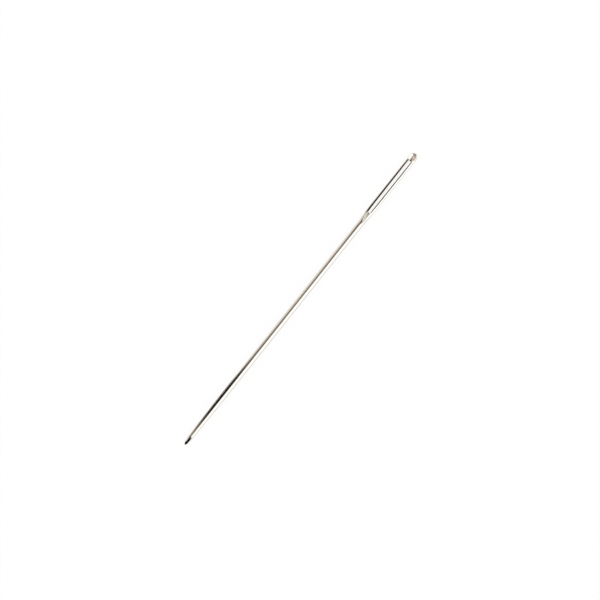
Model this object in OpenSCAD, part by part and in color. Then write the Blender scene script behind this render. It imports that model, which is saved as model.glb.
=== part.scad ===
// Yarn needle: one piece of drawn steel wire, ground to a blunt point at one end, and at the other
// pressed into an oval, pierced with a long eye and given thread grooves at both ends of the eye.
// It lies along X with its head at +X and the middle of its length at X = 0. The eye's opening runs
// along Z, and Z = 0 is the surface that it lies on.
// The five nodes are stretches of that one piece of wire. They meet face to face, so that each is
// simple and the eye stays open between the two rims.

/* [Needle] */
// Length from the point to the head's end
needle_len = 74; // [60:1:90]
// Diameter of the round shaft, needle wire gauge 18
shaft_d = 1.27; // [1.15:0.01:1.4]

/* [Point] */
// Length of the point end that is slimmer than the shaft
taper_len = 15.4; // [8:0.2:20]
// Diameter where the slim end turns into its rounded tip
tip_d = 0.9; // [0.6:0.01:1.1]
// Length of the rounded tip
tip_len = 1.6; // [0.8:0.1:2.4]

/* [Eye end] */
// Width across the two rims of the eye
rim_w = 1.66; // [1.5:0.01:1.9]
// Thickness of the pressed eye end at its middle
press_t = 1.0; // [0.85:0.01:1.1]
// Radius of the pressed faces, seen along the needle
face_r = 3.4; // [1.8:0.1:5]
// Length over which the shaft widens into the rims
shoulder_len = 4.0; // [3:0.1:8]
// Length of the shoulder that is still solid, before the eye's opening
shoulder_lead = 3.0; // [2:0.1:5]
// Length of the head's rounded end
head_round_len = 1.05; // [0.8:0.05:1.4]

/* [Eye] */
// Length of the eye's opening
hole_len = 13.2; // [9:0.1:16]
// Width of the opening at the head
hole_w = 0.46; // [0.4:0.01:0.6]
// Width of the opening at the shaft, where it narrows
hole_narrow_w = 0.36; // [0.34:0.01:0.4]
// Length of solid metal between the opening and the head's end
head_len = 1.85; // [1.5:0.05:3]

/* [Thread grooves] */
// Width of the grooves that lead the thread out of the eye
groove_w = 0.4; // [0.3:0.01:0.5]
// Depth of the grooves where they meet the opening
groove_depth = 0.16; // [0.08:0.01:0.18]
// Length of the groove on the head
head_groove_len = 1.5; // [0.8:0.05:1.6]
// Length of the groove on the shoulder
shoulder_groove_len = 2.8; // [1.5:0.1:4]

/* [Hidden] */

$fn = 64;
// Steps along each curved stretch of the outline that is turned about the needle's axis
tip_steps = 10;
taper_steps = 12;
shoulder_steps = 14;
head_steps = 12;
// How far a cutting shape passes the surface that it cuts
overcut = 0.2;
// How far the pressing faces clear the round shaft where the shoulder starts
face_clear = 0.002;

shaft_r = shaft_d / 2;
tip_r = tip_d / 2;
rim_r = rim_w / 2;
hole_r = hole_w / 2;
hole_narrow_r = hole_narrow_w / 2;

// Stations along the needle, from the point to the head
tip_x = -needle_len / 2;
head_x = needle_len / 2;
tip_round_x = tip_x + tip_len;
shaft_x = tip_x + taper_len;
hole_head_x = head_x - head_len;
hole_shaft_x = hole_head_x - hole_len;
shoulder_x = hole_shaft_x - shoulder_lead;
rims_x = shoulder_x + shoulder_len;
head_round_x = head_x - head_round_len;
// Centres of the opening's round ends, where the straight rims begin and end
hole_narrow_x = hole_shaft_x + hole_narrow_r;
hole_wide_x = hole_head_x - hole_r;

// How far the pressing faces close in along the shoulder
face_travel = shaft_r + face_clear - press_t / 2;
// Length from the opening over which they close again: they would meet just past the head's end
face_close_len = head_len + overcut;

// A smooth rise from 0 to 1 that starts and ends level
function ease(u) = (1 - cos(180 * u)) / 2;

// Radius of the ground taper: a parabola that runs level into the shaft
function taper_r(x) =
    shaft_r - (shaft_r - tip_r) * pow((shaft_x - x) / (shaft_x - tip_round_x), 2);

// The rounded tip: the taper goes on and closes as a quarter of an ellipse
function tip_curve() = [
    for (i = [0 : tip_steps])
        let (a = 90 * i / tip_steps, x = tip_round_x - tip_len * cos(a))
            [taper_r(x) * sin(a), x]
];

// The taper up to the shaft
function taper_curve() = [
    for (i = [1 : taper_steps])
        let (x = tip_round_x + (shaft_x - tip_round_x) * i / taper_steps)
            [taper_r(x), x]
];

// The shoulder, where the shaft widens into the rims
function shoulder_curve() = [
    for (i = [0 : shoulder_steps]) let (u = i / shoulder_steps)
        [shaft_r + (rim_r - shaft_r) * ease(u), shoulder_x + u * shoulder_len]
];

// The head's rounded end: a quarter of an ellipse
function head_curve() = [
    for (i = [0 : head_steps]) let (a = 90 * i / head_steps)
        [i == head_steps ? 0 : rim_r * cos(a), head_round_x + head_round_len * sin(a)]
];

// The pressing faces' fall towards the head's end: a quarter of an ellipse
function face_end_curve() = [
    for (i = [0 : head_steps]) let (a = 90 * i / head_steps)
        [face_r - press_t / 2 * (1 - cos(a)), hole_head_x + face_close_len * sin(a)]
];

// Turns an outline of [radius, station along the needle] points about the needle's axis
module turned(outline) {
    rotate([0, 90, 0]) rotate_extrude() polygon(outline);
}

// The wire before pressing, round all along
module blank() {
    turned(concat(tip_curve(), taper_curve(), shoulder_curve(), head_curve()));
}

// Space inside one pressing face: it clears the shaft, closes in along the shoulder, holds the
// eye to its thickness and rounds off the head
module inside_face() {
    translate([0, 0, press_t / 2 - face_r])
        turned(concat(
            [
                [0, tip_x - overcut],
                [face_r + face_travel, tip_x - overcut],
                [face_r + face_travel, shoulder_x],
                [face_r, rims_x],
            ],
            face_end_curve(),
            [[0, head_x + overcut]]
        ));
}

// The opening: two round ends with straight sides that touch both
module hole() {
    lean = asin((hole_r - hole_narrow_r) / (hole_wide_x - hole_narrow_x));
    linear_extrude(height = shaft_d + 2 * overcut, center = true) {
        translate([hole_wide_x, 0]) circle(r = hole_r);
        translate([hole_narrow_x, 0]) circle(r = hole_narrow_r);
        polygon([
            [hole_wide_x - hole_r * sin(lean), hole_r * cos(lean)],
            [hole_narrow_x - hole_narrow_r * sin(lean), hole_narrow_r * cos(lean)],
            [hole_narrow_x - hole_narrow_r * sin(lean), -hole_narrow_r * cos(lean)],
            [hole_wide_x - hole_r * sin(lean), -hole_r * cos(lean)],
        ]);
    }
}

// Height of the pressed face over the needle's axis at a station from the shoulder to the head
function face_height(x) =
    x > hole_head_x
        ? press_t / 2 * sqrt(1 - pow((x - hole_head_x) / face_close_len, 2))
        : press_t / 2 + face_travel * max(0, min(1, (rims_x - x) / shoulder_len));

// A round-bottomed groove along +X that starts at x = 0 with its bottom at height start and
// reaches height end over len, where it runs out of the face
module groove(start, end, len) {
    translate([0, 0, start])
        rotate([0, -atan((end - start) / len), 0])
            translate([-overcut, 0, groove_w / 2])
                rotate([0, 90, 0])
                    cylinder(d = groove_w, h = len + 2 * overcut);
}

// The grooves of one face, on the head and on the shoulder
module face_grooves() {
    translate([hole_head_x, 0, 0])
        groove(
            face_height(hole_head_x) - groove_depth,
            face_height(hole_head_x + head_groove_len),
            head_groove_len
        );
    translate([hole_shaft_x, 0, 0])
        mirror([1, 0, 0])
            groove(
                face_height(hole_shaft_x) - groove_depth,
                face_height(hole_shaft_x - shoulder_groove_len),
                shoulder_groove_len
            );
}

// The finished wire, whole, with its axis on X
module wire() {
    difference() {
        intersection() {
            blank();
            inside_face();
            mirror([0, 0, 1]) inside_face();
        }
        hole();
        face_grooves();
        mirror([0, 0, 1]) face_grooves();
    }
}

// A stretch of the wire between two stations, lying with its shaft on Z = 0. near_y is where the
// stretch begins across the needle: at its own edge for the whole width, or at 0 for its left half.
module stretch(from_x, to_x, near_y) {
    color("silver")
        translate([0, 0, shaft_r])
            intersection() {
                wire();
                translate([from_x, near_y, -shaft_d])
                    cube([to_x - from_x, rim_w - near_y, 2 * shaft_d]);
            }
}

// The point and the round shaft
module shaft() {
    stretch(tip_x - overcut, shoulder_x, -rim_w);
}

// The solid shoulder up to the round end of the opening
module shoulder() {
    stretch(shoulder_x, hole_narrow_x, -rim_w);
}

// The two sides of the eye
module rim_left() {
    stretch(hole_narrow_x, hole_wide_x, 0);
}

module rim_right() {
    mirror([0, 1, 0]) rim_left();
}

// The head, from the other round end of the opening
module head() {
    stretch(hole_wide_x, head_x + overcut, -rim_w);
}

shaft();
shoulder();
rim_left();
rim_right();
head();
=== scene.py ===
import math

import bpy
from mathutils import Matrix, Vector


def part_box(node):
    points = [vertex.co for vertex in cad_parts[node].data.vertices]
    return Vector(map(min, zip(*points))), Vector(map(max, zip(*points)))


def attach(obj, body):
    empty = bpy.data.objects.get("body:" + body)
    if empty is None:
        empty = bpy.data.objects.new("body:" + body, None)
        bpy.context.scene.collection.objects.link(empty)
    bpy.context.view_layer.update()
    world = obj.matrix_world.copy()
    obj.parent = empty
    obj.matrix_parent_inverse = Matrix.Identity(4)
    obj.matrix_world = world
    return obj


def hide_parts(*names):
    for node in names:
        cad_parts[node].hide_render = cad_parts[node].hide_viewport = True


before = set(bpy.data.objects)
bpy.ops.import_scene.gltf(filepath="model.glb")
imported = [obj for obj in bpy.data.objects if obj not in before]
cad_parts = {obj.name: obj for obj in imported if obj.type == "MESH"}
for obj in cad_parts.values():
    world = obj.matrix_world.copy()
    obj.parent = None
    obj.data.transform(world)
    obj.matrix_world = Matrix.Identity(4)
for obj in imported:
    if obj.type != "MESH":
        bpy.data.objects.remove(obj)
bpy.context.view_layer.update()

# The yarn needle is one piece of wire, so its finish is one closed mesh that takes the place of the
# five CAD stretches. All sizes in this file are metres; MM turns a maker's millimetres into them.
MM = 0.001

MATH = "ShaderNodeMath"
RANGE = "ShaderNodeMapRange"
MIX = "ShaderNodeMix"
QUARTER_TURN = math.pi / 2


def add(tree, kind, *values, sockets=None, **settings):
    """Adds a node: values fill its inputs in order, sockets fills them by name or number, and the
    other words are its own settings. A node or a socket given as a value is linked."""
    node = tree.nodes.new(kind)
    for name, setting in settings.items():
        setattr(node, name, setting)
    for key, value in [*enumerate(values), *(sockets or {}).items()]:
        for one in value if isinstance(value, list) else [value]:
            if isinstance(one, bpy.types.Node):
                one = one.outputs[0]
            if isinstance(one, bpy.types.NodeSocket):
                tree.links.new(one, node.inputs[key])
            else:
                node.inputs[key].default_value = one
    return node


def linear(hex_colour):
    """An sRGB hex colour as the linear RGBA that Blender's sockets take."""
    channels = [int(hex_colour[i:i + 2], 16) / 255 for i in (1, 3, 5)]
    return tuple(c / 12.92 if c <= 0.04045 else ((c + 0.055) / 1.055) ** 2.4 for c in channels) + (1.0,)


# Sizes, from the CAD where the frame gives them
shaft_low, shaft_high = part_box("shaft")
rim_low, rim_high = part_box("rim_left")
head_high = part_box("head")[1]

SIZES = {
    # Stations along the needle
    "Point X": shaft_low.x,
    "Tip Round X": shaft_low.x + 1.6 * MM,
    "Shaft X": shaft_low.x + 15.4 * MM,
    "Shoulder X": shaft_high.x,
    "Opening Start X": rim_low.x - 0.18 * MM,
    "Narrow End X": rim_low.x,
    "Rims X": shaft_high.x + 4.0 * MM,
    "Wide End X": rim_high.x,
    "Opening Finish X": rim_high.x + 0.23 * MM,
    "Head Round X": head_high.x - 1.05 * MM,
    "Head X": head_high.x,
    "Faces Meet X": head_high.x + 0.2 * MM,
    # Sizes across the needle
    "Tip Radius": 0.45 * MM,
    "Shaft Radius": (shaft_high.z - shaft_low.z) / 2,
    "Rim Radius": rim_high.y,
    "Press Thickness": 1.0 * MM,
    "Face Radius": 3.4 * MM,
    "Narrow Radius": 0.18 * MM,
    "Wide Radius": 0.23 * MM,
    # Grooves and softened edges
    "Groove Radius": 0.2 * MM,
    "Groove Depth": 0.16 * MM,
    "Head Groove Depth": 0.19 * MM,
    "Head Groove Length": 1.5 * MM,
    "Shoulder Groove Length": 2.8 * MM,
    "Groove Fade": 0.6 * MM,
    "Groove Lip": 0.05 * MM,
    "Edge Width": 0.27 * MM,
    "Narrow Edge Width": 0.18 * MM,
    "Edge Change": 2.0 * MM,
    "Edge Drop": 0.1 * MM,
    "Flank Blend": 0.1 * MM,
}

# Columns across a quarter of the needle, and rows down its share of the opening's wall
COLUMNS = 56
WALL_ROWS = 8
# How many of the columns crowd at the opening's edge, and the widest share of the radius they take
EDGE_COLUMNS = 8
EDGE_SHARE = 0.15
# Only the last column, which lies at 1, is past this. It meets the lower half.
SIDE_COLUMN = 0.9999
# Where rounding would leave the opening's end a hair open, squared lengths below this count as none
CLOSED = 1e-12
# Points nearer than this become one
WELD = 2e-8
# The shoulder's groove is polished better than the head's: its share of the head's dullness and painted
# shade
SHOULDER_DULLNESS_AND_SHADE = 0.6
# The share of the opening's wall, from its top, over which the dullness and the painted shade come up to
# full
WALL_FADE = 0.3

# Each stretch of the flat pattern: where it starts and ends, its steps, and how they are spaced
STRETCHES = [
    ("Point X", "Tip Round X", 20, "slow start"),
    ("Tip Round X", "Shaft X", 32, "even"),
    ("Shaft X", "Shoulder X", 20, "even"),
    ("Shoulder X", "Lip Start X", 48, "even"),
    ("Lip Start X", "Opening Start X", 8, "slow end"),
    ("Opening Start X", "Narrow End X", 14, "slow start"),
    ("Narrow End X", "Wide End X", 64, "even"),
    ("Wide End X", "Opening Finish X", 14, "slow end"),
    ("Opening Finish X", "Lip Finish X", 8, "slow start"),
    ("Lip Finish X", "Head Round X", 12, "even"),
    ("Head Round X", "Head X", 18, "slow end"),
]
OPEN_STRETCHES = STRETCHES[5:8]


def needle_tree(material):
    """The rule of the needle's shape. A flat pattern of stations along X and columns across Y is
    folded to a quarter of the needle, and mirrored to the whole. Columns from 0 to 1 run from the
    middle, or the opening's edge, out to the side; from -1 to 0 they climb the opening's wall."""
    tree = bpy.data.node_groups.new("needle_from_wire", "GeometryNodeTree")
    tree.interface.new_socket(name="Geometry", in_out="INPUT", socket_type="NodeSocketGeometry")
    for name in SIZES:
        tree.interface.new_socket(name=name, in_out="INPUT", socket_type="NodeSocketFloat")
    tree.interface.new_socket(name="Geometry", in_out="OUTPUT", socket_type="NodeSocketGeometry")
    given = tree.nodes.new("NodeGroupInput").outputs
    size = {name: given[name] for name in SIZES}
    size["Lip Start X"] = add(tree, MATH, size["Opening Start X"], size["Edge Width"], operation="SUBTRACT")
    size["Lip Finish X"] = add(tree, MATH, size["Opening Finish X"], size["Edge Width"], operation="ADD")

    # The flat pattern
    index = add(tree, "GeometryNodeInputIndex")
    patches = []
    for stretches, columns, first in ((STRETCHES, COLUMNS, 0), (OPEN_STRETCHES, WALL_ROWS, -1)):
        row = add(tree, MATH, index, columns + 1, operation="MODULO")
        row = add(tree, MATH, row, columns, operation="DIVIDE")
        row = add(tree, MATH, row, first, operation="ADD")
        station = add(tree, MATH, index, columns + 1, operation="DIVIDE")
        station = add(tree, MATH, station, operation="FLOOR")
        for start, end, steps, spacing in stretches:
            share = add(tree, MATH, station, steps, operation="DIVIDE")
            if spacing != "even":
                angle = add(tree, MATH, share, QUARTER_TURN, operation="MULTIPLY")
                if spacing == "slow end":
                    share = add(tree, MATH, angle, operation="SINE")
                else:
                    share = add(tree, MATH, angle, operation="COSINE")
                    share = add(tree, MATH, 1, share, operation="SUBTRACT")
            along = add(tree, MIX, share, sockets={2: size[start], 3: size[end]})
            grid = add(tree, "GeometryNodeMeshGrid",
                       sockets={"Vertices X": steps + 1, "Vertices Y": columns + 1})
            place = add(tree, "ShaderNodeCombineXYZ", along, row)
            patches.append(add(tree, "GeometryNodeSetPosition", grid, sockets={"Position": place}))
    pattern = add(tree, "GeometryNodeJoinGeometry", patches)

    flat = add(tree, "ShaderNodeSeparateXYZ", add(tree, "GeometryNodeInputPosition"))
    x, row = flat.outputs["X"], flat.outputs["Y"]

    # Radius of the round blank: ground taper, shaft, shoulder, and rounded ends
    slim = add(tree, RANGE, x, size["Tip Round X"], size["Shaft X"], 1, 0, clamp=False)
    slim = add(tree, MATH, slim, 0, operation="MAXIMUM")
    slim = add(tree, MATH, slim, slim, operation="MULTIPLY")
    loss = add(tree, MATH, size["Tip Radius"], size["Shaft Radius"], operation="SUBTRACT")
    radius = add(tree, MATH, slim, loss, size["Shaft Radius"], operation="MULTIPLY_ADD")
    gain = add(tree, MATH, size["Rim Radius"], size["Shaft Radius"], operation="SUBTRACT")
    pressed = add(tree, RANGE, x, size["Shoulder X"], size["Rims X"], 0, 1, interpolation_type="SMOOTHSTEP")
    radius = add(tree, MATH, pressed, gain, radius, operation="MULTIPLY_ADD")
    tip_end = add(tree, RANGE, x, size["Point X"], size["Tip Round X"], 1, 0)
    head_end = add(tree, RANGE, x, size["Head Round X"], size["Head X"], 0, 1)
    ending = add(tree, MATH, tip_end, head_end, operation="MAXIMUM")
    ending = add(tree, MATH, ending, ending, operation="MULTIPLY")
    ending = add(tree, MATH, 1, ending, operation="SUBTRACT")
    ending = add(tree, MATH, ending, operation="SQRT")
    radius = add(tree, MATH, radius, ending, operation="MULTIPLY")

    # Half-width of the opening, with its two round ends
    opening = add(tree, RANGE, x, size["Narrow End X"], size["Wide End X"],
                  size["Narrow Radius"], size["Wide Radius"])
    before = add(tree, MATH, size["Narrow End X"], x, operation="SUBTRACT")
    after = add(tree, MATH, x, size["Wide End X"], operation="SUBTRACT")
    beyond = add(tree, MATH, before, after, operation="MAXIMUM")
    beyond = add(tree, MATH, beyond, 0, operation="MAXIMUM")
    beyond_2 = add(tree, MATH, beyond, beyond, operation="MULTIPLY")
    inner = add(tree, MATH, opening, opening, operation="MULTIPLY")
    inner = add(tree, MATH, inner, beyond_2, operation="SUBTRACT")
    inner = add(tree, MATH, inner, CLOSED, operation="SUBTRACT")
    inner = add(tree, MATH, inner, 0, operation="MAXIMUM")
    inner = add(tree, MATH, inner, operation="SQRT")

    # Place across the needle: close columns at the opening's edge, then even steps round the side
    column = add(tree, MATH, row, 0, operation="MAXIMUM")
    edge_share = EDGE_COLUMNS / COLUMNS
    near = add(tree, RANGE, column, 0, edge_share, 0, QUARTER_TURN)
    near = add(tree, MATH, near, operation="COSINE")
    near = add(tree, MATH, 1, near, operation="SUBTRACT")
    far = add(tree, RANGE, column, edge_share, 1, 0, QUARTER_TURN)
    far = add(tree, MATH, far, operation="SINE")
    lip = add(tree, MATH, radius, EDGE_SHARE, operation="MULTIPLY")
    lip = add(tree, MATH, lip, size["Edge Width"], operation="MINIMUM")
    across = add(tree, MATH, near, lip, inner, operation="MULTIPLY_ADD")
    rest = add(tree, MATH, radius, inner, operation="SUBTRACT")
    rest = add(tree, MATH, rest, lip, operation="SUBTRACT")
    across = add(tree, MATH, far, rest, across, operation="MULTIPLY_ADD")
    across_2 = add(tree, MATH, across, across, operation="MULTIPLY")

    # Height over the axis: the round blank under the pressing face, softly blended at the flanks
    height = add(tree, MATH, radius, radius, operation="MULTIPLY")
    height = add(tree, MATH, height, across_2, operation="SUBTRACT")
    height = add(tree, MATH, height, 0, operation="MAXIMUM")
    height = add(tree, MATH, height, operation="SQRT")
    middle = add(tree, MATH, size["Press Thickness"], 2, operation="DIVIDE")
    travel = add(tree, MATH, size["Shaft Radius"], middle, operation="SUBTRACT")
    open_by = add(tree, MATH, 1, pressed, operation="SUBTRACT")
    face_radius = add(tree, MATH, travel, open_by, size["Face Radius"], operation="MULTIPLY_ADD")
    fall = add(tree, RANGE, x, size["Opening Finish X"], size["Faces Meet X"], 0, 1)
    fall = add(tree, MATH, fall, fall, operation="MULTIPLY")
    fall = add(tree, MATH, 1, fall, operation="SUBTRACT")
    fall = add(tree, MATH, fall, operation="SQRT")
    fall = add(tree, MATH, 1, fall, operation="SUBTRACT")
    fall = add(tree, MATH, fall, middle, operation="MULTIPLY")
    face_radius = add(tree, MATH, face_radius, fall, operation="SUBTRACT")
    face = add(tree, MATH, face_radius, face_radius, operation="MULTIPLY")
    face = add(tree, MATH, face, across_2, operation="SUBTRACT")
    face = add(tree, MATH, face, operation="SQRT")
    face_centre = add(tree, MATH, middle, size["Face Radius"], operation="SUBTRACT")
    face = add(tree, MATH, face, face_centre, operation="ADD")
    blend = add(tree, MATH, pressed, size["Flank Blend"], operation="MULTIPLY")
    height = add(tree, MATH, height, face, blend, operation="SMOOTH_MIN")

    # Grooves: deepest at the opening's ends, running out along the needle and fading into the rims.
    # Across, a groove is a parabola that is as deep as the head's groove at the groove's radius.
    groove_x = add(tree, MATH, size["Opening Start X"], size["Shoulder Groove Length"],
                   operation="SUBTRACT")
    rising = add(tree, RANGE, x, groove_x, size["Opening Start X"], 0, 1)
    fade_x = add(tree, MATH, size["Opening Start X"], size["Groove Fade"], operation="ADD")
    falling = add(tree, RANGE, x, size["Opening Start X"], fade_x, 1, 0)
    share = add(tree, MATH, rising, falling, operation="MULTIPLY")
    fade_x = add(tree, MATH, size["Opening Finish X"], size["Groove Fade"], operation="SUBTRACT")
    rising = add(tree, RANGE, x, fade_x, size["Opening Finish X"], 0, 1)
    groove_x = add(tree, MATH, size["Opening Finish X"], size["Head Groove Length"], operation="ADD")
    falling = add(tree, RANGE, x, size["Opening Finish X"], groove_x, 1, 0)
    head_share = add(tree, MATH, rising, falling, operation="MULTIPLY")
    depth = add(tree, MATH, size["Groove Lip"], size["Groove Depth"], operation="ADD")
    depth = add(tree, MATH, depth, share, operation="MULTIPLY")
    head_depth = add(tree, MATH, size["Groove Lip"], size["Head Groove Depth"], operation="ADD")
    depth = add(tree, MATH, head_depth, head_share, depth, operation="MULTIPLY_ADD")
    groove = add(tree, MATH, across, size["Groove Radius"], operation="DIVIDE")
    groove = add(tree, MATH, groove, groove, operation="MULTIPLY")
    groove = add(tree, MATH, groove, head_depth, operation="MULTIPLY")
    face_top = add(tree, MATH, face_radius, face_centre, operation="ADD")
    bottom = add(tree, MATH, face_top, size["Groove Lip"], operation="ADD")
    bottom = add(tree, MATH, bottom, depth, operation="SUBTRACT")
    groove = add(tree, MATH, groove, bottom, operation="ADD")
    grooved = add(tree, MATH, height, groove, size["Groove Lip"], operation="SMOOTH_MIN")

    # The opening's edge, rounded over in a quarter of an ellipse that is tighter at the narrow end
    edge = add(tree, MATH, across_2, beyond_2, operation="ADD")
    edge = add(tree, MATH, edge, operation="SQRT")
    edge = add(tree, MATH, edge, opening, operation="SUBTRACT")
    wide_x = add(tree, MATH, size["Narrow End X"], size["Edge Change"], operation="ADD")
    edge_width = add(tree, RANGE, x, size["Narrow End X"], wide_x,
                     size["Narrow Edge Width"], size["Edge Width"])
    edge = add(tree, RANGE, edge, 0, edge_width, 1, 0)
    edge = add(tree, MATH, edge, edge, operation="MULTIPLY")
    edge = add(tree, MATH, 1, edge, operation="SUBTRACT")
    edge = add(tree, MATH, edge, operation="SQRT")
    edge = add(tree, MATH, 1, edge, operation="SUBTRACT")
    edge = add(tree, MATH, edge, size["Edge Drop"], operation="MULTIPLY")
    rounded = add(tree, MATH, grooved, edge, operation="SUBTRACT")

    # The wall, and the side that meets the lower half
    wall = add(tree, MATH, row, 0, operation="MINIMUM")
    wall = add(tree, MATH, wall, 1, operation="ADD")
    final = add(tree, MATH, rounded, wall, operation="MULTIPLY")
    side = add(tree, MATH, row, SIDE_COLUMN, operation="LESS_THAN")
    final = add(tree, MATH, final, side, operation="MULTIPLY")

    # How far a point lies in a groove or the opening: 0 on the polished outside, 1 on the wall. The
    # material makes it duller and paints shade with it
    sunk = add(tree, MATH, height, grooved, operation="SUBTRACT")
    sunk = add(tree, RANGE, sunk, 0, size["Head Groove Depth"], 0, 1)
    reach = add(tree, RANGE, x, size["Narrow End X"], size["Wide End X"], SHOULDER_DULLNESS_AND_SHADE, 1)
    sunk = add(tree, MATH, sunk, reach, operation="MULTIPLY")
    inside = add(tree, RANGE, row, -WALL_FADE, 0, 1, 0)
    sunk = add(tree, MATH, sunk, inside, operation="MAXIMUM")

    named = add(tree, "GeometryNodeStoreNamedAttribute", pattern,
                sockets={"Name": "sunk", "Value": sunk}, data_type="FLOAT", domain="POINT")
    place = add(tree, "ShaderNodeCombineXYZ", x, across, final)
    body = add(tree, "GeometryNodeSetPosition", named, sockets={"Position": place})
    for scale in ((1, -1, 1), (1, 1, -1)):
        other = add(tree, "GeometryNodeTransform", body, sockets={"Scale": scale})
        other = add(tree, "GeometryNodeFlipFaces", other)
        body = add(tree, "GeometryNodeJoinGeometry", [body, other])
    lift = add(tree, "ShaderNodeCombineXYZ", sockets={"Z": size["Shaft Radius"]})
    body = add(tree, "GeometryNodeTransform", body, sockets={"Translation": lift})
    body = add(tree, "GeometryNodeMergeByDistance", body, sockets={"Distance": WELD})
    body = add(tree, "GeometryNodeSetShadeSmooth", body)
    body = add(tree, "GeometryNodeRealizeInstances", body)
    body = add(tree, "GeometryNodeSetMaterial", body, sockets={"Material": material})
    add(tree, "NodeGroupOutput", body)
    return tree


def grown(name, tree, sizes):
    """An object whose mesh is what the tree makes with these sizes, with no modifier left on it."""
    made = bpy.data.objects.new(name, bpy.data.meshes.new(name))
    bpy.context.scene.collection.objects.link(made)
    modifier = made.modifiers.new(name, "NODES")
    modifier.node_group = tree
    for item in tree.interface.items_tree:
        if item.in_out == "INPUT" and item.name in sizes:
            modifier[item.identifier] = sizes[item.name]
    graph = bpy.context.evaluated_depsgraph_get()
    evaluated = made.evaluated_get(graph)
    mesh = bpy.data.meshes.new_from_object(evaluated, preserve_all_data_layers=True, depsgraph=graph)
    made.modifiers.clear()
    made.data = mesh
    mesh.name = name
    return made


# Material
# Cells of a pattern in a metre, along the needle and across it. Polishing lines are about 0.06 mm
# apart and some millimetres long, and the slow unevenness of drawn wire is about 5 mm long.
LINE_CELLS = (400, 16000, 16000)
WAVE_CELLS = (200, 900, 900)
LINE_HEIGHT = 0.0003 * MM
WAVE_HEIGHT = 0.002 * MM
# The polish, from its brightest lines to its dullest, and what the bottom of a groove adds to it
BRIGHT_POLISH, DULL_POLISH = 0.05, 0.09
GROOVE_DULLNESS = 0.25
# Most of the pattern's values lie between these
PATTERN_LOW, PATTERN_HIGH = 0.3, 0.7
# The plating where it is polished, and at the bottom of a groove, where the darker tone is partly duller
# unpolished metal and partly painted shade. The power below 1 brings the painted shade down fast, so that
# even a shallow groove looks dark.
POLISHED_TONE, GROOVE_TONE_AND_SHADE = "#DAD4C8", "#746C62"
GROOVE_SHADE_POWER = 0.6


def nickel_plate():
    """Bright nickel over drawn steel, barrel-polished: a warm grey-white mirror with hair-fine lines
    along the wire, duller where the polish doesn't reach, in the grooves and the eye, and darker there with
    painted shade."""
    material = bpy.data.materials.new("polished_nickel_plate")
    material.use_nodes = True
    tree = material.node_tree
    shader = tree.nodes["Principled BSDF"]
    shader.inputs["Metallic"].default_value = 1.0
    place = add(tree, "ShaderNodeTexCoord").outputs["Object"]
    sunk = add(tree, "ShaderNodeAttribute", attribute_name="sunk").outputs["Fac"]

    # Polishing lines vary the polish a little
    lines_place = add(tree, "ShaderNodeMapping", place, sockets={"Scale": LINE_CELLS})
    lines = add(tree, "ShaderNodeTexNoise", lines_place, sockets={"Scale": 1.0, "Detail": 3.0})
    # The wire's unevenness makes long reflections waver
    waves_place = add(tree, "ShaderNodeMapping", place, sockets={"Scale": WAVE_CELLS})
    waves = add(tree, "ShaderNodeTexNoise", waves_place, sockets={"Scale": 1.0, "Detail": 1.0})

    # Painted shade: the groove tone darkens the base colour in the grooves and the eye, as far as the
    # needle is sunk there
    dull_and_shade = add(tree, MATH, sunk, GROOVE_SHADE_POWER, operation="POWER")
    tone = add(tree, MIX, dull_and_shade, data_type="RGBA",
               sockets={6: linear(POLISHED_TONE), 7: linear(GROOVE_TONE_AND_SHADE)})
    tree.links.new(tone.outputs[2], shader.inputs["Base Color"])

    rough = add(tree, RANGE, lines, PATTERN_LOW, PATTERN_HIGH, BRIGHT_POLISH, DULL_POLISH)
    rough = add(tree, MATH, sunk, GROOVE_DULLNESS, rough, operation="MULTIPLY_ADD")
    tree.links.new(rough.outputs[0], shader.inputs["Roughness"])

    relief = add(tree, "ShaderNodeBump",
                 sockets={"Height": waves, "Distance": WAVE_HEIGHT, "Strength": 1.0})
    relief = add(tree, "ShaderNodeBump",
                 sockets={"Height": lines, "Distance": LINE_HEIGHT, "Normal": relief})
    tree.links.new(relief.outputs[0], shader.inputs["Normal"])
    return material


# Studio
# Half the floor's side, in metres
FLOOR_HALF = 2.0
# How much of the floor is plain white to the eye. The rest is lit paint, which holds the shadow.
FLOOR_WHITE = 0.9


def painted_reflection_card(name, angle_from, angle_to, distance, hex_colour, tones):
    """A painted reflection: a card parallel to the needle that only the polish sees, whatever the lamps do,
    as the camera, the floor's light and the shadows pass it by. Angles are in degrees from straight up
    towards -Y, seen from the needle, and the card is square to its middle angle. Tones are pairs of a place
    along the needle in mm and the light that the card gives there."""
    middle = math.radians((angle_from + angle_to) / 2)
    half = distance * math.tan(math.radians(abs(angle_to - angle_from) / 2))
    centre = Vector((0, -math.sin(middle), math.cos(middle))) * distance
    centre.z += SIZES["Shaft Radius"]
    across = Vector((0, -math.cos(middle), -math.sin(middle))) * half
    corners = [Vector((x * MM, 0, 0)) + centre + across * side for x, _ in tones for side in (-1, 1)]
    faces = [(2 * i, 2 * i + 2, 2 * i + 3, 2 * i + 1) for i in range(len(tones) - 1)]
    mesh = bpy.data.meshes.new(name)
    mesh.from_pydata(corners, [], faces)
    given = mesh.attributes.new("tone", "FLOAT", "POINT")
    for i, (_, tone) in enumerate(tones):
        given.data[2 * i].value = given.data[2 * i + 1].value = tone
    material = bpy.data.materials.new(name)
    material.use_nodes = True
    tree = material.node_tree
    tree.nodes.clear()
    tone = add(tree, "ShaderNodeAttribute", attribute_name="tone").outputs["Fac"]
    add(tree, "ShaderNodeOutputMaterial", add(tree, "ShaderNodeEmission", linear(hex_colour), tone))
    mesh.materials.append(material)
    made = bpy.data.objects.new(name, mesh)
    bpy.context.scene.collection.objects.link(made)
    made.visible_camera = False
    made.visible_diffuse = False
    made.visible_shadow = False
    return made


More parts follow.
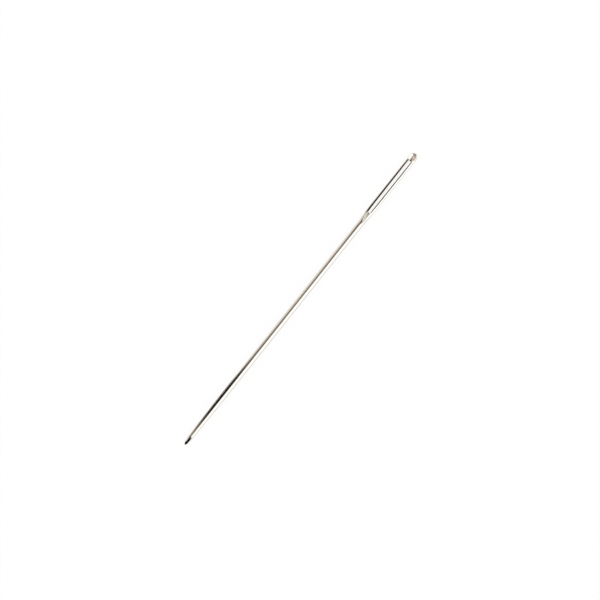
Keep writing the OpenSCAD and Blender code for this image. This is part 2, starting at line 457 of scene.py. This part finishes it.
def studio_floor():
    """A white sheet. The camera and the polish see it as plain white, with the needle's faint shadow."""
    material = bpy.data.materials.new("white_floor")
    material.use_nodes = True
    tree = material.node_tree
    tree.nodes.clear()
    path = add(tree, "ShaderNodeLightPath")
    seen = add(tree, MATH, path.outputs["Is Camera Ray"], path.outputs["Is Glossy Ray"],
               operation="MAXIMUM")
    seen = add(tree, MATH, seen, path.outputs["Is Transmission Ray"], operation="MAXIMUM")
    share = add(tree, MATH, seen, FLOOR_WHITE, operation="MULTIPLY")
    paint = add(tree, "ShaderNodeBsdfDiffuse", linear("#FFFFFF"))
    white = add(tree, "ShaderNodeEmission", (1, 1, 1, 1), 1.0)
    mixed = add(tree, "ShaderNodeMixShader", share, paint, white)
    add(tree, "ShaderNodeOutputMaterial", mixed)
    mesh = bpy.data.meshes.new("floor")
    corners = [(x * FLOOR_HALF, y * FLOOR_HALF, 0) for x, y in ((-1, -1), (1, -1), (1, 1), (-1, 1))]
    mesh.from_pydata(corners, [], [(0, 1, 2, 3)])
    mesh.materials.append(material)
    made = bpy.data.objects.new("floor", mesh)
    bpy.context.scene.collection.objects.link(made)
    return made


needle = grown("needle", needle_tree(nickel_plate()), SIZES)
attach(needle, "root")
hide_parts("shaft", "shoulder", "rim_left", "rim_right", "head")

studio_floor()
# Painted reflections, not things that the room holds: cards that only the polish sees, each giving the
# light and shade wanted at each place along the needle. Columns: name, angles from and to, distance in
# metres, colour, and pairs of a place along the needle in mm and the light there
PAINTED_REFLECTIONS = [
    # The shaft: painted reflections of a grey-brown strip beside its top line and a paler one beyond it,
    # both all but black over the taper and over the eye, and of a white room to the left
    ("shade_strip", -33, -4, 0.25, "#FFDAC8",
     [(-62, 0.2), (-54, 0.18), (-50, 0.03), (-27, 0.03), (-22, 0.16), (-3, 0.2), (20, 0.2), (26, 0.34),
      (30, 0.03), (50, 0.03)]),
    ("half_light", -67, -33, 0.25, "#FFF1F1",
     [(-68, 0.45), (-60, 0.38), (-54, 0.27), (-49, 0.0), (-27, 0.0), (-22, 0.34), (-3, 0.47), (22, 0.47),
      (29, 0.1), (50, 0.1)]),
    ("left_light", -95, -67, 0.3, "#FFFFFF",
     [(-1500, 1.0), (-70, 1.0), (-65, 0.75), (-60, 0.6), (-53, 0.0), (-27, 0.0), (-24, 0.5), (-17, 0.8),
      (-3, 1.1), (12, 1.1), (60, 1.1)]),
    # A painted shadow: a dark card just beside the taper, standing for the floor's shade next to the needle
    # as the polish shows it
    ("left_painted_shadow", -122, -70, 0.0009, "#FFF3E8",
     [(-36, 0.9), (-33, 0.5), (-30, 0.27), (-22, 0.27), (-19.5, 0.9)]),
    # The tip: painted reflections, black nearly all round, from small cards close to it
    ("tip_flag_left", -150, -70, 0.0008, "#FFFFFF", [(-39, 0.0), (-36.7, 0.0), (-36.2, 0.9)]),
    ("tip_flag_right", 78, 150, 0.0008, "#FFFFFF", [(-39, 0.0), (-36.7, 0.0), (-36.2, 0.9)]),
    ("tip_light", -67, -46, 0.005, "#FFFFFF", [(-60, 0.0), (-38.7, 0.0), (-37.6, 0.9), (-36.1, 0.9)]),
    ("tip_block", -46, 10, 0.005, "#FFFFFF", [(-60, 0.0), (-35.94, 0.0), (-35.42, 0.15)]),
    ("tip_block_right", 10, 78, 0.005, "#FFFFFF", [(-60, 0.0), (-35.85, 0.0), (-35.5, 0.8)]),
    # The right side, all along
    ("soft_box", 10, 88, 0.3, "#F0F6FF", [(-75, 1.75), (74, 1.75)]),
    # The shoulder, where the strip crosses the top line
    ("shoulder_line", -4, 6, 0.25, "#FFE2DE", [(22, 1.0), (29, 0.35), (66, 0.3)]),
    # The head: white to the left, dark at the top line, beige to the right and grey at the end
    ("head_light", -60, -10, 0.25, "#FFFFFF", [(51, 0.8), (57, 1.0), (62, 1.8), (170, 1.8)]),
    ("head_dark", -10, 0, 0.25, "#FFE2DE", [(66, 0.1), (120, 0.05), (145, 0.25), (170, 0.6)]),
    ("head_shade", 0, 18, 0.3, "#FFF4EC", [(75, 0.9), (90, 0.75), (200, 0.7)]),
    ("head_side", 18, 60, 0.3, "#FFFFFF", [(75, 1.5), (110, 1.3), (200, 1.2)]),
    ("head_end", -60, 12, 0.25, "#FFFAF7", [(171, 0.45), (1500, 0.45)]),
    ("head_end_side", 12, 80, 0.28, "#FFFFFF", [(187, 1.4), (1500, 1.4)]),
]
for card in PAINTED_REFLECTIONS:
    painted_reflection_card(*card)

world = bpy.data.worlds.new("studio")
bpy.context.scene.world = world
world.use_nodes = True
world.node_tree.nodes["Background"].inputs["Color"].default_value = (1, 1, 1, 1)
world.node_tree.nodes["Background"].inputs["Strength"].default_value = 1.0

# Camera: straight down on the needle, which lies 51.5 degrees from level in the picture. The middle
# of its length is a little right of the picture's middle and above it.
NEEDLE_LENGTH = 74 * MM
NEEDLE_PIXELS = 371.2
FRAME_PIXELS = 600
PIXEL = NEEDLE_LENGTH / NEEDLE_PIXELS
LENS = 200
# Nearest place that the camera sees, in metres
NEAREST = 0.01
SLANT = math.radians(51.5)
RIGHT_OF_MIDDLE, ABOVE_MIDDLE = 0.39 * PIXEL, 0.74 * PIXEL
camera_data = bpy.data.cameras.new("camera")
camera_data.lens = LENS
camera_data.clip_start = NEAREST
distance = FRAME_PIXELS * PIXEL * LENS / camera_data.sensor_width
camera = bpy.data.objects.new("camera", camera_data)
bpy.context.scene.collection.objects.link(camera)
camera.rotation_euler = (0, 0, -SLANT)
across_picture = Vector((math.cos(SLANT), -math.sin(SLANT), 0))
up_picture = Vector((math.sin(SLANT), math.cos(SLANT), 0))
camera.location = Vector((0, 0, distance)) - across_picture * RIGHT_OF_MIDDLE - up_picture * ABOVE_MIDDLE
bpy.context.scene.camera = camera
bpy.context.scene.view_settings.view_transform = "Standard"
